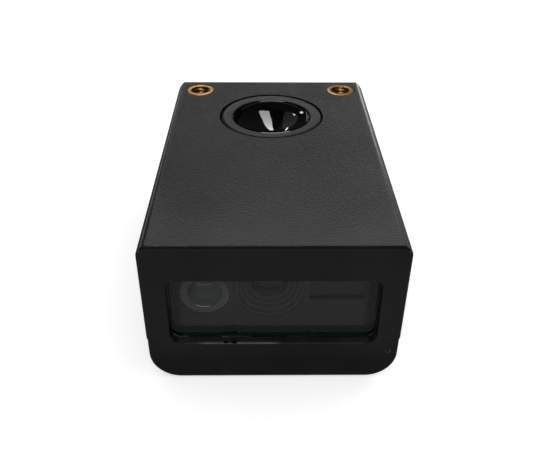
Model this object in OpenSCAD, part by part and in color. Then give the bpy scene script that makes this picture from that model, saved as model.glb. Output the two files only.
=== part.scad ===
// Small fixed-mount barcode scanner: a moulded box with a scan window in its front face,
// a trigger button in its top face and two threaded inserts at the rear corners of the top.
// Millimetres. Origin at the middle of the footprint on the bottom face, +Z up.
// The window faces -Y, and the interface socket is in the rear wall at +Y.

/* [Housing] */
// Width across the long sides
body_w = 32; // [31.5:0.5:40]
// Length from the window face to the rear wall
body_l = 50; // [49:1:70]
// Height from the bottom face to the top face
body_h = 21; // [20.5:0.5:26]
// Wall thickness of both shells
wall = 1.8; // [1.6:0.1:2]
// Radius of the long top edges
top_edge_r = 1.5; // [1:0.1:2]
// Radius of the long bottom edges
bottom_edge_r = 4; // [3:0.1:4.5]
// Radius of the edge round the front face
front_edge_r = 0.5; // [0.3:0.1:0.8]
// Radius of the two upright rear corners, seen from above
rear_corner_r = 2.6; // [2:0.1:2.6]
// Radius of the top and bottom rear edges
rear_edge_r = 1; // [0.6:0.1:1.4]
// Height of the parting line between the shells
parting_z = 6.7; // [6.3:0.1:7.4]
// How far the lower shell stands back from the upper one at the parting line
cover_step = 0.1; // [0.05:0.05:0.2]
// Open gap between the shells at the parting line
parting_gap = 0.05; // [0.05:0.05:0.2]
// Height of the tongue inside the parting line
tongue_h = 1; // [0.8:0.1:1.4]
// Thickness of the tongue
tongue_t = 0.8; // [0.6:0.1:0.9]

/* [Scan window] */
// Width of the window opening
window_w = 25.9; // [24.5:0.1:26.2]
// Height of the window opening
window_h = 9.9; // [9:0.1:10.3]
// Height of the middle of the window and of the camera axis
window_z = 11.1; // [10.9:0.1:11.6]
// Corner radius of the window opening
window_r = 1.2; // [0.6:0.1:2]
// Radius of the rounded edge of the opening in the front face
lip_edge_r = 0.15; // [0.1:0.05:0.3]
// Depth of the front lip in front of the pane
lip_t = 1.5; // [1.2:0.1:1.6]
// Thickness of the pane
pane_t = 1.1; // [0.8:0.1:1.4]
// How far the pane reaches behind the lip on every side
pane_overlap = 1.1; // [0.8:0.1:1.2]
// How much further the pane reaches at its lower edge
pane_drop = 0.6; // [0.4:0.1:0.8]
// Thickness of the gasket behind the pane
gasket_t = 0.7; // [0.5:0.1:0.9]
// Width of the gasket's frame
gasket_w = 0.7; // [0.5:0.1:0.9]
// Depth of the two ribs that hold the gasket against the pane
pane_rib_t = 1; // [0.8:0.1:1.2]

/* [Trigger button] */
// Distance from the rear wall to the middle of the button
button_setback = 14.4; // [14:0.1:15.5]
// Radius of the button bore in the top face
button_bore_r = 8.15; // [7.6:0.05:8.3]
// Gap between the button ring and its bore
button_gap = 0.25; // [0.15:0.05:0.4]
// Radius of the ring's outer edge
ring_edge_r = 0.45; // [0.3:0.05:0.6]
// Radius of the ring's inner edge
ring_lip_r = 0.15; // [0.1:0.05:0.2]
// How far the ring's inner edge lies below the top face
ring_dip = 0.1; // [0.05:0.05:0.2]
// Outer radius of the glossy dish
dish_r = 6.1; // [5.6:0.05:6.2]
// How far the dish's rim lies below the top face
dish_drop = 0.2; // [0.15:0.05:0.3]
// Depth of the dish below its rim
dish_depth = 2.2; // [1.9:0.05:2.3]
// Radius of the dish's hollow bottom
dish_ball_r = 13.2; // [12:0.2:20]
// Radius by which the bottom turns up into the wall
dish_turn_r = 1.5; // [1.2:0.1:1.8]
// Thickness of the dish's wall at its rim
dish_wall = 0.15; // [0.1:0.05:0.3]
// Thickness of the dish at its middle
dish_t = 0.8; // [0.6:0.1:1]
// Thickness of the ring's floor under the dish
ring_floor_t = 0.8; // [0.6:0.1:1]
// How far the guide flange stands out past the bore
flange_reach = 0.75; // [0.6:0.05:0.8]
// Thickness of the guide flange
flange_t = 0.9; // [0.7:0.1:1.2]
// Travel of the button
button_travel = 0.5; // [0.3:0.1:0.6]

/* [Mounting inserts] */
// Distance between the two threaded inserts
insert_spacing = 24; // [23:0.5:24.5]
// Distance from the rear wall to the inserts
insert_setback = 4.2; // [4:0.1:5]
// Outer radius of an insert over its knurl
insert_r = 2.35; // [2.2:0.05:2.5]
// Radius of the threaded hole
insert_hole_r = 1.25; // [1.2:0.05:1.4]
// Length of an insert
insert_l = 5; // [4:0.5:6]
// Number of knurl teeth
knurl_teeth = 24; // [16:1:30]

/* [Scan engine] */
// Distance from the front face to the engine's front
engine_setback = 5; // [4.6:0.1:5.4]
// Width of the engine
engine_w = 24.8; // [24.6:0.2:25.4]
// Depth of the engine chassis
engine_d = 13; // [12.5:0.5:14]
// Height of the engine
engine_h = 11.8; // [11.6:0.1:12.2]
// Sideways place of the camera axis
camera_x = -0.5; // [-0.8:0.1:0.4]
// Outer radius of the camera barrel
camera_r = 4.55; // [4.2:0.05:4.6]
// Sideways place of the round light
light_x = -8.85; // [-8.9:0.05:-8.6]
// How far the round light lies below the camera axis
light_drop = 0.9; // [0.6:0.1:1.1]
// Outer radius of the round light's lens
light_r = 3.2; // [3:0.05:3.3]
// Radius of the dome in the middle of the round light
light_dome_r = 2.15; // [1.8:0.05:2.4]
// Sideways place of the rectangular light window
aimer_x = 8.2; // [8:0.1:8.4]
// Width of the rectangular light window
aimer_w = 7.2; // [6.6:0.1:7.4]
// Height of the rectangular light window
aimer_h = 3.4; // [3:0.1:4]

/* [Boards] */
// Thickness of the main board
board_t = 1.6; // [1.2:0.1:1.6]
// Height of the stand-offs under the main board
standoff_h = 1.6; // [1.5:0.1:1.8]
// Gap between the main board and the side walls, where the snap tabs stand
board_side_gap = 1.4; // [1.3:0.1:1.8]
// Thickness of the small board under the button
switch_board_t = 1; // [0.8:0.1:1.2]
// Length of the small board, front to back
switch_board_l = 11.2; // [10:0.2:11.4]
// Gap between the buzzer and the parts above and behind it
buzzer_gap = 0.5; // [0.4:0.1:1]

/* [Hidden] */
$fn = 64;

// Clearances
slip = 0.05;       // pieces that slide or screw into each other
loose = 0.15;      // pieces that are laid in with room
eps = 1;           // how far a cut runs past the face it opens
weld = 0.5;        // how far a boss runs into the wall that carries it
tip_room = 0.3;    // free length beyond the tip of a screw

// Main planes
front_y = -body_l / 2;
rear_y = body_l / 2;
inner_x = body_w / 2 - wall;
inner_top_z = body_h - wall;
board_z = wall + standoff_h;
board_top = board_z + board_t;

// Scan window
pane_y = front_y + lip_t;
gasket_y = pane_y + pane_t;
pane_rib_y = gasket_y + gasket_t;
front_inner_y = pane_rib_y + pane_rib_t;
pane_w = window_w + 2 * pane_overlap;
pane_h = window_h + 2 * pane_overlap + pane_drop;
pane_r = 0.6;
pane_rib_x = window_w / 2 + 0.2;
window_bottom = window_z - window_h / 2;
pane_z = window_bottom - pane_overlap - pane_drop;

// Trigger button, from the top face down
button_y = rear_y - button_setback;
ring_r = button_bore_r - button_gap;
dish_rim_z = body_h - dish_drop;
dish_floor_z = dish_rim_z - dish_depth - dish_t;
ring_floor_z = dish_floor_z - ring_floor_t;
flange_r = button_bore_r + flange_reach;
flange_top = inner_top_z - slip;
collar_r = flange_r + slip;
collar_t = 0.9;
collar_room = 0.8;
collar_h = flange_t + button_travel + collar_room;
key_w = 2;
key_reach = 0.7;
stem_r = 1.6;
stem_l = 0.6;
stem_z = ring_floor_z - stem_l;

// Tactile switch under the stem
plunger_r = 1.7;
plunger_flange_r = 2.1;
plunger_flange_t = 0.5;
plunger_proud = 0.9;
plunger_room = 0.2;
switch_w = 6.2;
switch_h = 3.5;
switch_cover_t = 0.3;
switch_clip_z = 1;
leg_w = 0.7;
leg_t = 0.3;
leg_inset = 0.9;
leg_x = switch_w / 2 - leg_inset;
leg_below = 0.6;
leg_above = 0.8;
leg_hole_r = norm([leg_w, leg_t]) / 2 + slip;
switch_cover_z = stem_z - plunger_proud;
switch_z = switch_cover_z - switch_h;
switch_board_z = switch_z - switch_board_t;

// Screw columns and bosses of the upper shell
column_r = 2.2;
column_side_gap = 2.2;
column_front_gap = 1.2;
column_rear_gap = 2.4;
column_x = inner_x - column_side_gap - column_r;
rear_column_y = rear_y - wall - column_rear_gap - column_r;
switch_boss_r = 2;
switch_boss_side_gap = 0.8;
switch_boss_x = inner_x - switch_boss_side_gap - switch_boss_r;
insert_boss_r = 3.4;
insert_boss_below = 3;
insert_boss_l = insert_l + insert_boss_below;
insert_relief = 0.3;
insert_x = insert_spacing / 2;
insert_y = rear_y - insert_setback;

// Cover screws
pad_r = 2.9;
pad_h = 1.2;
recess_r = 1.95;
recess_d = 1.6;
column_z = wall + pad_h + parting_gap;
cover_screw_r = 0.95;
cover_screw_l = 7.5;
cover_head_r = 1.75;
cover_head_h = 1.2;

// Small screws of the boards and the engine
small_screw_r = 0.75;
small_head_r = 1.4;
small_head_h = 0.9;
small_screw_l = 3.4;

// Brass inserts
insert_groove_d = 0.35;
insert_lead = 0.4;
insert_rim = 0.5;
insert_gap = 0.7;
insert_chamfer = 0.3;
knurl_inset = 0.05;
knurl_d = 0.2;

// Scan engine, from the front face back
engine_y = front_y + engine_setback;
engine_z = board_top;
engine_edge_r = 0.6;
engine_back_y = engine_y + engine_d;
engine_board_t = 1;
engine_board_y = engine_back_y + engine_board_t;
light_z = window_z - light_drop;
light_depth = 4;
led_board_t = 0.8;
led_board_y = engine_y + light_depth;
led_board_drop = 0.6;
led_slot_wall = 0.8;
led_slot_x = engine_w / 2 - led_slot_wall;
led_board_z = engine_z + led_slot_wall;
sensor_w = 5.8;
sensor_t = 1.2;
sensor_frame = 0.8;
sensor_recess = 0.2;
sensor_gap = 0.4;
engine_screw_side = 2.8;
engine_screw_x = engine_w / 2 - engine_screw_side;
engine_screw_back = 3.5;
engine_screw_y = engine_back_y - engine_screw_back;
engine_board_screw_side = 1.8;
engine_board_screw_x = engine_w / 2 - engine_board_screw_side;
engine_board_lift = 0.2;
core_wall = 0.5;
core_front_wall = 1;
core_floor = 3;
core_x = camera_r + slip - camera_x + core_wall;
core_y = led_board_y + led_board_t + core_front_wall;
light_chip_w = 3.1;
light_chip_t = 1;
light_flange_t = 0.8;
light_skirt_t = 0.5;
light_dome_rise = 0.5;
aimer_chip_w = 2;
aimer_chip_h = 1.6;
aimer_chip_t = 0.8;
aimer_seat = 0.4;
aimer_t = 1;
lens_inset = 0.2;
ring_step_r = 0.52;
ring_step_y = 0.5;
rings_n = 4;
lens_r = camera_r - rings_n * ring_step_r;
lens_y = engine_y + rings_n * ring_step_y;
lens_t = 2;
lens_seat = 0.5;
lens_ball_r = 5;
lens_stop_t = 2;
barrel_relief = 1;
barrel_back_y = engine_back_y - sensor_t - sensor_gap;

// Flat flex cable and its connectors
flex_w = 8;
flex_t = 0.15;
flex_bend_r = 1.5;
flex_plug_w = 10;
flex_plug_t = 1.1;
flex_plug_h = 2.5;
flex_plug_lift = 5;
flex_plug_z = engine_z + flex_plug_lift;
flex_grip = 1;
flex_run = 1.4;
flex_socket_h = 1.8;
flex_socket_l = 3;
flex_y = engine_board_y + flex_plug_t / 2;
flex_z = board_top + flex_socket_h / 2;
flex_socket_y = flex_y + flex_bend_r + flex_run;
mid_column_y = engine_board_y + column_front_gap + column_r;

// Boards
board_end_gap = 0.6;
board_half = inner_x - board_side_gap;
board_front_y = pane_rib_y + slip;
board_rear_y = rear_y - wall - board_end_gap;
board_corner_r = 1;
board_notch_gap = 0.4;
board_notch_r = column_r + board_notch_gap;
board_screw_shift = 0.6;
board_screw_x = column_x + board_screw_shift;
board_screw_y = mid_column_y + (rear_column_y - mid_column_y) * 0.74;
board_screw_boss_r = 1.9;
front_rest_side = 3.8;
front_rest_x = inner_x - front_rest_side;
front_rest_back = 2;
front_rest_y = engine_y + front_rest_back;
switch_board_side_gap = 1.4;
switch_board_x = inner_x - switch_board_side_gap;
switch_board_y = button_y - switch_board_l / 2;

// Board-to-board connector, under the front left of the switch board
link_pins_n = 4;
link_pitch = 2;
link_w = link_pins_n * link_pitch + 0.4;
link_l = 2.2;
link_gap = 0.25;
link_back = 0.6;
link_x = -(leg_x + leg_w / 2 + link_gap + link_w / 2);
link_y = switch_board_y + link_back + link_l / 2;
link_header_h = 1.9;
link_pin_w = 0.5;
link_pin_end = 0.6;
link_hole_r = link_pin_w / sqrt(2) + slip;

// Interface socket
socket_w = 8.94;
socket_h = 3.2;
socket_l = 7.3;
socket_wall = 0.3;
socket_rear_y = rear_y - cover_step;
socket_y = socket_rear_y - socket_l;
socket_z = board_top + socket_h / 2;
socket_room = 0.25;
socket_block_l = 1.6;
socket_tab_t = 0.3;
socket_tab_l = 1.2;
socket_tab_end = 0.2;
socket_tab_y = 0.8;
socket_tab_pitch = 2.6;
blade_w = 6.7;
blade_t = 0.7;
blade_root = 0.6;
blade_end = 0.6;
contacts_n = 12;
contact_pitch = 0.5;
contact_w = 0.25;
contact_l = 3.6;
contact_t = 0.06;
contact_start = 0.4;

// Parts on the main board between the engine's flat cable and the socket
parts_y = flex_socket_y + flex_socket_l;
decoder_w = 8;
decoder_h = 1.2;
decoder_x = 6;
decoder_front_gap = 0.9;
decoder_l = (socket_y - mid_column_y) * 0.4;
decoder_y = parts_y + decoder_front_gap + decoder_l / 2;
decoder_left = decoder_x - decoder_w / 2;
buzzer_w = 8.4;
buzzer_side_gap = 0.4;
buzzer_x = decoder_left - buzzer_side_gap - buzzer_w / 2;
buzzer_y = socket_y - buzzer_gap - buzzer_w / 2;
buzzer_top = switch_board_z - leg_below - 2 * buzzer_gap;
buzzer_corner_r = 0.8;
buzzer_hole_r = 1;
buzzer_hole_d = 1.2;
memory_room_x = decoder_left - link_x - link_w / 2;
memory_room_y = buzzer_y - buzzer_w / 2 - parts_y;
memory_w = memory_room_x * 0.6;
memory_l = memory_room_y * 0.6;
memory_h = 1;
memory_x = decoder_left - memory_room_x / 2;
memory_y = parts_y + memory_room_y / 2;
chip_bevel = 0.2;
capacitor_w = 0.9;
capacitor_l = 0.6;
capacitor_h = 0.6;
capacitors_n = 5;
capacitor_pitch = 1.25;
capacitors_gap = 0.8;
capacitors_y = decoder_y + decoder_l / 2 + capacitors_gap;

// Snap tabs of the lower shell, just behind the pane
tab_t = 1;
tab_l = 4;
tab_back = 3;
tab_y = engine_y + tab_back;
tab_rise = 3;
tab_top = parting_z + tab_rise;
tab_root = 0.3;
tab_barb = 0.35;
barb_rise = 1.9;
barb_z = parting_z + barb_rise;
barb_h = 0.5;
barb_slope = 0.2;

// Directions: an outline drawn in (x, z) runs along Y, one in (y, z) runs along X,
// and a half section in (radius, y) turns about an axis along Y
module along_y(y0, y1) {
    translate([0, y1, 0]) rotate([90, 0, 0]) linear_extrude(y1 - y0) children();
}
module along_x(x0, x1) {
    translate([x0, 0, 0]) rotate([90, 0, 90]) linear_extrude(x1 - x0) children();
}
module along_z(z0, z1) {
    translate([0, 0, z0]) linear_extrude(z1 - z0) children();
}
module turned_y(x, z) {
    translate([x, 0, z]) rotate([-90, 0, 0]) rotate_extrude() children();
}
module both_sides() {
    children();
    mirror([1, 0, 0]) children();
}

// Rectangle from (x0, y0) to (x1, y1)
module area(x0, y0, x1, y1) {
    translate([x0, y0]) square([x1 - x0, y1 - y0]);
}
// Rectangle with its four corners rounded
module round_area(x0, y0, x1, y1, r) {
    area(x0 + r, y0, x1 - r, y1);
    area(x0, y0 + r, x1, y1 - r);
    for (x = [x0 + r, x1 - r], y = [y0 + r, y1 - r]) translate([x, y]) circle(r);
}
// Box from one corner to the other
module block(p, q) {
    translate(p) cube(q - p);
}
module post(x, y, z0, z1, r) {
    translate([x, y, z0]) cylinder(r = r, h = z1 - z0);
}

// Outer form shared by both shells: a box whose long edges and front edge are rounded,
// laid together from flat and turned stretches that meet on flat faces
module edge_section(reach) {
    r = front_edge_r;
    area(0, front_y + r, reach, rear_y);
    area(0, front_y, reach - r, rear_y);
    translate([reach - r, front_y + r]) circle(r);
}
module edge_turn(x, z, reach, start) {
    translate([x, 0, z]) rotate([-90, 0, 0]) rotate([0, 0, start])
        rotate_extrude(angle = 90) edge_section(reach);
}
module front_rounded_form(w) {
    half = w / 2;
    bottom_r = bottom_edge_r;
    top_r = top_edge_r;
    along_z(bottom_r, body_h - top_r) both_sides() edge_section(half);
    along_x(-half + bottom_r, half - bottom_r)
        translate([0, bottom_r]) mirror([0, 1]) mirror([1, -1]) edge_section(bottom_r);
    along_x(-half + top_r, half - top_r)
        translate([0, body_h - top_r]) mirror([1, -1]) edge_section(top_r);
    both_sides() {
        edge_turn(half - bottom_r, bottom_r, bottom_r, 0);
        edge_turn(half - top_r, body_h - top_r, top_r, -90);
    }
}
module outer_form(step) {
    half = body_w / 2 - step;
    back = rear_y - step;
    intersection() {
        front_rounded_form(2 * half);
        along_z(-eps, body_h + eps) {
            area(-half - eps, front_y - eps, half + eps, back - rear_corner_r);
            area(-half + rear_corner_r, front_y - eps, half - rear_corner_r, back);
            both_sides() translate([half - rear_corner_r, back - rear_corner_r]) circle(rear_corner_r);
        }
        along_x(-half - eps, half + eps) {
            area(front_y - eps, -eps, back - rear_edge_r, body_h + eps);
            area(front_y - eps, rear_edge_r, back, body_h - rear_edge_r);
            for (z = [rear_edge_r, body_h - rear_edge_r])
                translate([back - rear_edge_r, z]) circle(rear_edge_r);
        }
    }
}

// Cross-section of the hollow inside, grown outwards by some amount
module inner_section(grow) {
    r = bottom_edge_r - wall;
    x = inner_x + grow;
    area(-x, wall + r, x, inner_top_z);
    area(-inner_x + r, wall - grow, inner_x - r, inner_top_z);
    for (side = [-1, 1]) translate([side * (inner_x - r), wall + r]) circle(r + grow);
}

// Places that more than one piece uses
module at_columns() {
    both_sides() for (y = [mid_column_y, rear_column_y]) translate([column_x, y, 0]) children();
}
module at_inserts() {
    both_sides() translate([insert_x, insert_y, 0]) children();
}
module at_board_screws() {
    both_sides() translate([board_screw_x, board_screw_y, 0]) children();
}
module at_switch_bosses() {
    both_sides() translate([switch_boss_x, button_y, 0]) children();
}
module at_engine_screws() {
    both_sides() translate([engine_screw_x, engine_screw_y, 0]) children();
}
module window_outline() {
    round_area(-window_w / 2, window_bottom, window_w / 2, window_bottom + window_h, window_r);
}
// What is cut away to round the opening's edge in the front face
module lip_edge_section() {
    difference() {
        area(-eps, -eps, lip_edge_r, lip_edge_r);
        translate([lip_edge_r, lip_edge_r]) circle(lip_edge_r);
    }
}
module lip_edge_cut() {
    x = window_w / 2;
    half = window_h / 2;
    translate([0, front_y, window_z]) {
        for (turn = [0, 180]) rotate([0, turn, 0]) {
            along_x(window_r - x, x - window_r) translate([0, half]) mirror([1, -1]) lip_edge_section();
            along_z(window_r - half, half - window_r) translate([x, 0]) lip_edge_section();
        }
        for (side = [0, 1], turn = [0, 180]) mirror([side, 0, 0]) rotate([0, turn, 0])
            translate([x - window_r, 0, half - window_r]) rotate([-90, 0, 0]) rotate([0, 0, -90])
                rotate_extrude(angle = 90) difference() {
                    translate([window_r, 0]) lip_edge_section();
                    area(-2 * eps, -2 * eps, 0, 2 * eps);
                }
    }
}
module pane_outline(grow) {
    round_area(-pane_w / 2 - grow, pane_z - grow, pane_w / 2 + grow, pane_z + pane_h + grow, pane_r);
}
module tongue_outline(grow) {
    side = inner_x + tongue_t + grow;
    difference() {
        area(-side, front_inner_y - grow, side, rear_y - wall + tongue_t + grow);
        area(-inner_x, front_inner_y - grow - eps, inner_x, rear_y - wall);
    }
}
module stadium(w, h) {
    area(-(w - h) / 2, -h / 2, (w - h) / 2, h / 2);
    for (side = [-1, 1]) translate([side * (w - h) / 2, 0]) circle(h / 2);
}
module socket_form(y0, y1, grow) {
    translate([0, 0, socket_z]) along_y(y0, y1) stadium(socket_w + 2 * grow, socket_h + 2 * grow);
}
// Openings that run through both shells
module shell_openings() {
    along_y(front_y - eps, gasket_y) window_outline();
    lip_edge_cut();
    along_y(pane_y, pane_rib_y + slip) pane_outline(slip);
    socket_form(socket_y, rear_y + eps, socket_room);
}
// Screw that points up, its head below z = 0
module screw(shank_r, shank_l, head_r, head_h) {
    edge = head_h / 3;
    tip = shank_r / 2;
    arm = head_r * 0.6;
    half = shank_r * 0.22;
    difference() {
        rotate_extrude() polygon([
            [0, -head_h], [head_r - edge, -head_h], [head_r, edge - head_h], [head_r, 0], [shank_r, 0],
            [shank_r, shank_l - tip], [shank_r - tip, shank_l], [0, shank_l]]);
        for (turn = [0, 90]) rotate([0, 0, turn])
            block([-arm, -half, -head_h - eps], [arm, half, -head_h / 2]);
    }
}

// Upper shell: front frame, pane slot, button bore with its guide collar, insert bosses,
// screw columns and the bosses that carry the switch board
module top_housing() {
    floor_z = parting_z + parting_gap / 2;
    key_side = key_w / 2 + loose;
    color("#1c1c1e") difference() {
        union() {
            difference() {
                intersection() {
                    outer_form(0);
                    block([-body_w, -body_l, floor_z], [body_w, body_l, body_h + eps]);
                }
                along_y(pane_rib_y, rear_y - wall) inner_section(0);
            }
            both_sides()
                block([pane_rib_x, pane_rib_y, floor_z], [inner_x + weld, front_inner_y, inner_top_z + weld]);
            at_columns() post(0, 0, column_z, inner_top_z + weld, column_r);
            at_inserts() post(0, 0, body_h - insert_boss_l, inner_top_z + weld, insert_boss_r);
            at_switch_bosses() post(0, 0, switch_z, inner_top_z + weld, switch_boss_r);
            post(0, button_y, inner_top_z - collar_h, inner_top_z + weld, collar_r + collar_t);
        }
        shell_openings();
        along_z(parting_z - eps, parting_z + tongue_h + loose) tongue_outline(slip);
        both_sides() along_y(tab_y - loose, tab_y + tab_l + loose)
            area(inner_x - eps, barb_z - slip, inner_x + tab_barb + loose, barb_z + barb_h + 2 * loose);
        post(0, button_y, inner_top_z - eps, body_h + eps, button_bore_r);
        post(0, button_y, inner_top_z - collar_h - eps, inner_top_z, collar_r);
        block([-key_side, button_y, inner_top_z - collar_h - eps],
            [key_side, button_y + flange_r + key_reach + loose, inner_top_z]);
        at_inserts() {
            post(0, 0, body_h - insert_l, body_h + eps, insert_r + slip);
            post(0, 0, body_h - insert_l - eps, body_h - insert_l + eps, insert_hole_r + insert_relief);
        }
        at_columns() post(0, 0, column_z - eps, recess_d + cover_screw_l + tip_room, cover_screw_r + slip);
        at_switch_bosses()
            post(0, 0, switch_z - eps, switch_board_z + small_screw_l + tip_room, small_screw_r + slip);
    }
}

// Lower shell: floor with stand-offs and screw pads, tongue and snap tabs
module bottom_cover() {
    ceiling_z = parting_z - parting_gap / 2;
    color("#19191b") difference() {
        union() {
            difference() {
                intersection() {
                    outer_form(cover_step);
                    block([-body_w, -body_l, -eps], [body_w, body_l, ceiling_z]);
                }
                along_y(pane_rib_y, rear_y - wall) inner_section(0);
            }
            along_z(parting_z - eps, parting_z + tongue_h) tongue_outline(0);
            both_sides() snap_tab();
            at_columns() post(0, 0, wall / 2, wall + pad_h, pad_r);
            at_board_screws() post(0, 0, wall / 2, board_z, board_screw_boss_r);
            both_sides() post(front_rest_x, front_rest_y, wall / 2, board_z, board_screw_boss_r);
        }
        shell_openings();
        at_columns() {
            post(0, 0, -eps, recess_d, recess_r);
            post(0, 0, recess_d - eps, wall + pad_h + eps, cover_screw_r + loose);
        }
        at_board_screws()
            post(0, 0, board_top - small_screw_l - tip_room, board_z + eps, small_screw_r + slip);
    }
}
module snap_tab() {
    face = inner_x - slip;
    inside = face - tab_t;
    middle = inner_x + tongue_t / 2;
    barb_x = inner_x + tab_barb;
    root_z = board_top + tab_root;
    foot_z = root_z + 2 * tab_root;
    along_y(tab_y, tab_y + tab_l) polygon([
        [middle, foot_z], [face, root_z], [inside, foot_z], [inside, tab_top], [inner_x - tab_t / 2, tab_top],
        [barb_x, barb_z + barb_h], [barb_x, barb_z + barb_slope], [face, barb_z],
        [face, parting_z + tongue_h], [middle, parting_z + tongue_h]]);
}

// Clear pane behind the front lip
module scan_window() {
    color("#9fb5ae", 0.4) along_y(pane_y, gasket_y) pane_outline(0);
}

// Frame-shaped seal between the pane and the ribs
module window_gasket() {
    color("#111111") along_y(gasket_y, pane_rib_y) difference() {
        pane_outline(0);
        pane_outline(-gasket_w);
    }
}

// Two heat-set inserts with two knurled bands each
module threaded_inserts() {
    color("#b58a3c") at_inserts() translate([0, 0, body_h - insert_l]) threaded_insert();
}
module threaded_insert() {
    band = (insert_l - insert_lead - insert_gap - insert_rim) / 2;
    difference() {
        union() {
            post(0, 0, 0, insert_l - insert_rim / 2, insert_r - insert_groove_d);
            post(0, 0, insert_l - insert_rim, insert_l, insert_r);
            for (z = [insert_lead, insert_l - insert_rim - band]) along_z(z, z + band) knurl_outline();
        }
        post(0, 0, -eps, insert_l + eps, insert_hole_r);
        translate([0, 0, insert_l - insert_chamfer])
            cylinder(r1 = insert_hole_r, r2 = insert_hole_r + insert_chamfer + eps, h = insert_chamfer + eps);
    }
}
module knurl_outline() {
    step = 180 / knurl_teeth;
    tip_r = insert_r - knurl_inset;
    polygon([for (i = [0 : 2 * knurl_teeth - 1])
        (tip_r - (i % 2) * knurl_d) * [cos(i * step), sin(i * step)]]);
}

// Four screws that join the shells from below
module cover_screws() {
    color("#3a3a3c") at_columns() translate([0, 0, recess_d])
        screw(cover_screw_r, cover_screw_l, cover_head_r, cover_head_h);
}

// Trigger button: a ring, flush with the top face, that dips a little towards its glossy dish
module button_ring() {
    inner_r = dish_r + slip;
    lip = [inner_r + ring_lip_r, body_h - ring_dip - ring_lip_r];
    edge = [ring_r - ring_edge_r, body_h - ring_edge_r];
    span = edge - lip;
    turn = atan2(span[1], span[0]) + 90 - asin((ring_lip_r - ring_edge_r) / norm(span));
    up = [cos(turn), sin(turn)];
    color("#2a2a2c") union() {
        translate([0, button_y, 0]) rotate_extrude() {
            area(inner_r, ring_floor_z, ring_r, edge[1]);
            area(inner_r, ring_floor_z, edge[0], lip[1]);
            polygon([lip, lip + ring_lip_r * up, edge + ring_edge_r * up, edge]);
            translate(lip) circle(ring_lip_r);
            translate(edge) circle(ring_edge_r);
            area(0, ring_floor_z, ring_r, dish_floor_z);
            area(ring_r - eps, flange_top - flange_t, flange_r, flange_top);
            area(0, stem_z, stem_r, ring_floor_z + slip);
        }
        block([-key_w / 2, button_y + flange_r - eps, flange_top - flange_t],
            [key_w / 2, button_y + flange_r + key_reach, flange_top]);
    }
}
// Deep dish: its bottom is part of a ball and turns up into a steep wall
module button_dish() {
    ball_z = dish_rim_z - dish_depth + dish_ball_r;
    turn_x = dish_r - dish_wall - dish_turn_r;
    turn_z = ball_z - sqrt(pow(dish_ball_r - dish_turn_r, 2) - pow(turn_x, 2));
    meet_x = turn_x * dish_ball_r / (dish_ball_r - dish_turn_r);
    color("#08080a") translate([0, button_y, 0]) rotate_extrude() difference() {
        area(0, dish_floor_z, dish_r, dish_rim_z);
        intersection() {
            translate([0, ball_z]) circle(dish_ball_r, $fn = 180);
            area(-eps, dish_floor_z, meet_x, turn_z);
        }
        translate([turn_x, turn_z]) circle(dish_turn_r);
        area(-eps, turn_z, dish_r - dish_wall, turn_z + eps);
    }
}

// Tactile switch under the stem
module switch_plunger() {
    flange_z = switch_cover_z - switch_cover_t - slip;
    color("#1a1a1a") translate([0, button_y, 0]) {
        post(0, 0, flange_z - plunger_flange_t, stem_z, plunger_r);
        post(0, 0, flange_z - plunger_flange_t, flange_z, plunger_flange_r);
    }
}
module switch_base() {
    top = switch_cover_z - switch_cover_t;
    half = switch_w / 2;
    well_z = top - 2 * slip - plunger_flange_t - button_travel - plunger_room;
    color("#202020") translate([0, button_y, 0]) difference() {
        block([-half + switch_cover_t, -half, switch_z], [half - switch_cover_t, half, top]);
        post(0, 0, well_z, top + eps, plunger_flange_r + 2 * slip);
    }
}
module switch_cover() {
    top = switch_cover_z - switch_cover_t;
    half = switch_w / 2;
    color("#b9bbbd") translate([0, button_y, 0]) {
        difference() {
            block([-half, -half, top], [half, half, switch_cover_z]);
            post(0, 0, top - eps, switch_cover_z + eps, plunger_r + slip);
        }
        both_sides()
            block([half - switch_cover_t, -half / 2, switch_z + switch_clip_z], [half, half / 2, top]);
    }
}
module at_switch_legs() {
    for (x = [-1, 1], y = [-1, 1])
        translate([x * leg_x, button_y + y * (switch_w + leg_t) / 2, 0]) children();
}
module switch_legs() {
    x = leg_w / 2;
    y = leg_t / 2;
    color("#c9c9c9") at_switch_legs()
        block([-x, -y, switch_board_z - leg_below], [x, y, switch_z + leg_above]);
}
module switch_board() {
    y = switch_board_y;
    color("#1d5a34") difference() {
        along_z(switch_board_z, switch_z)
            round_area(-switch_board_x, y, switch_board_x, y + switch_board_l, board_corner_r);
        at_switch_bosses() post(0, 0, switch_board_z - eps, switch_z + eps, small_screw_r + loose);
        at_switch_legs() post(0, 0, switch_board_z - eps, switch_z + eps, leg_hole_r);
        at_link_pins() post(0, 0, switch_board_z - eps, switch_z + eps, link_hole_r);
    }
}
module switch_board_screws() {
    color("#8d8f92") at_switch_bosses() translate([0, 0, switch_board_z])
        screw(small_screw_r, small_screw_l, small_head_r, small_head_h);
}

// Connector that stands between the two boards
module at_link_pins() {
    for (i = [0 : link_pins_n - 1])
        translate([link_x + (i - (link_pins_n - 1) / 2) * link_pitch, link_y, 0]) children();
}
module link_block(z0, z1, hole) {
    x = link_w / 2;
    y = link_l / 2;
    half = hole / 2;
    difference() {
        block([link_x - x, link_y - y, z0], [link_x + x, link_y + y, z1]);
        at_link_pins() block([-half, -half, board_top + link_pin_end], [half, half, z1 + eps]);
    }
}
module link_socket() {
    color("#161616") link_block(board_top, switch_board_z - link_header_h, link_pin_w + loose);
}
module link_header() {
    color("#2b2b2b") link_block(switch_board_z - link_header_h, switch_board_z, link_pin_w);
}
module link_pins() {
    half = link_pin_w / 2;
    color("#c7a35a") at_link_pins()
        block([-half, -half, board_top + link_pin_end], [half, half, switch_z + link_pin_end]);
}

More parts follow.
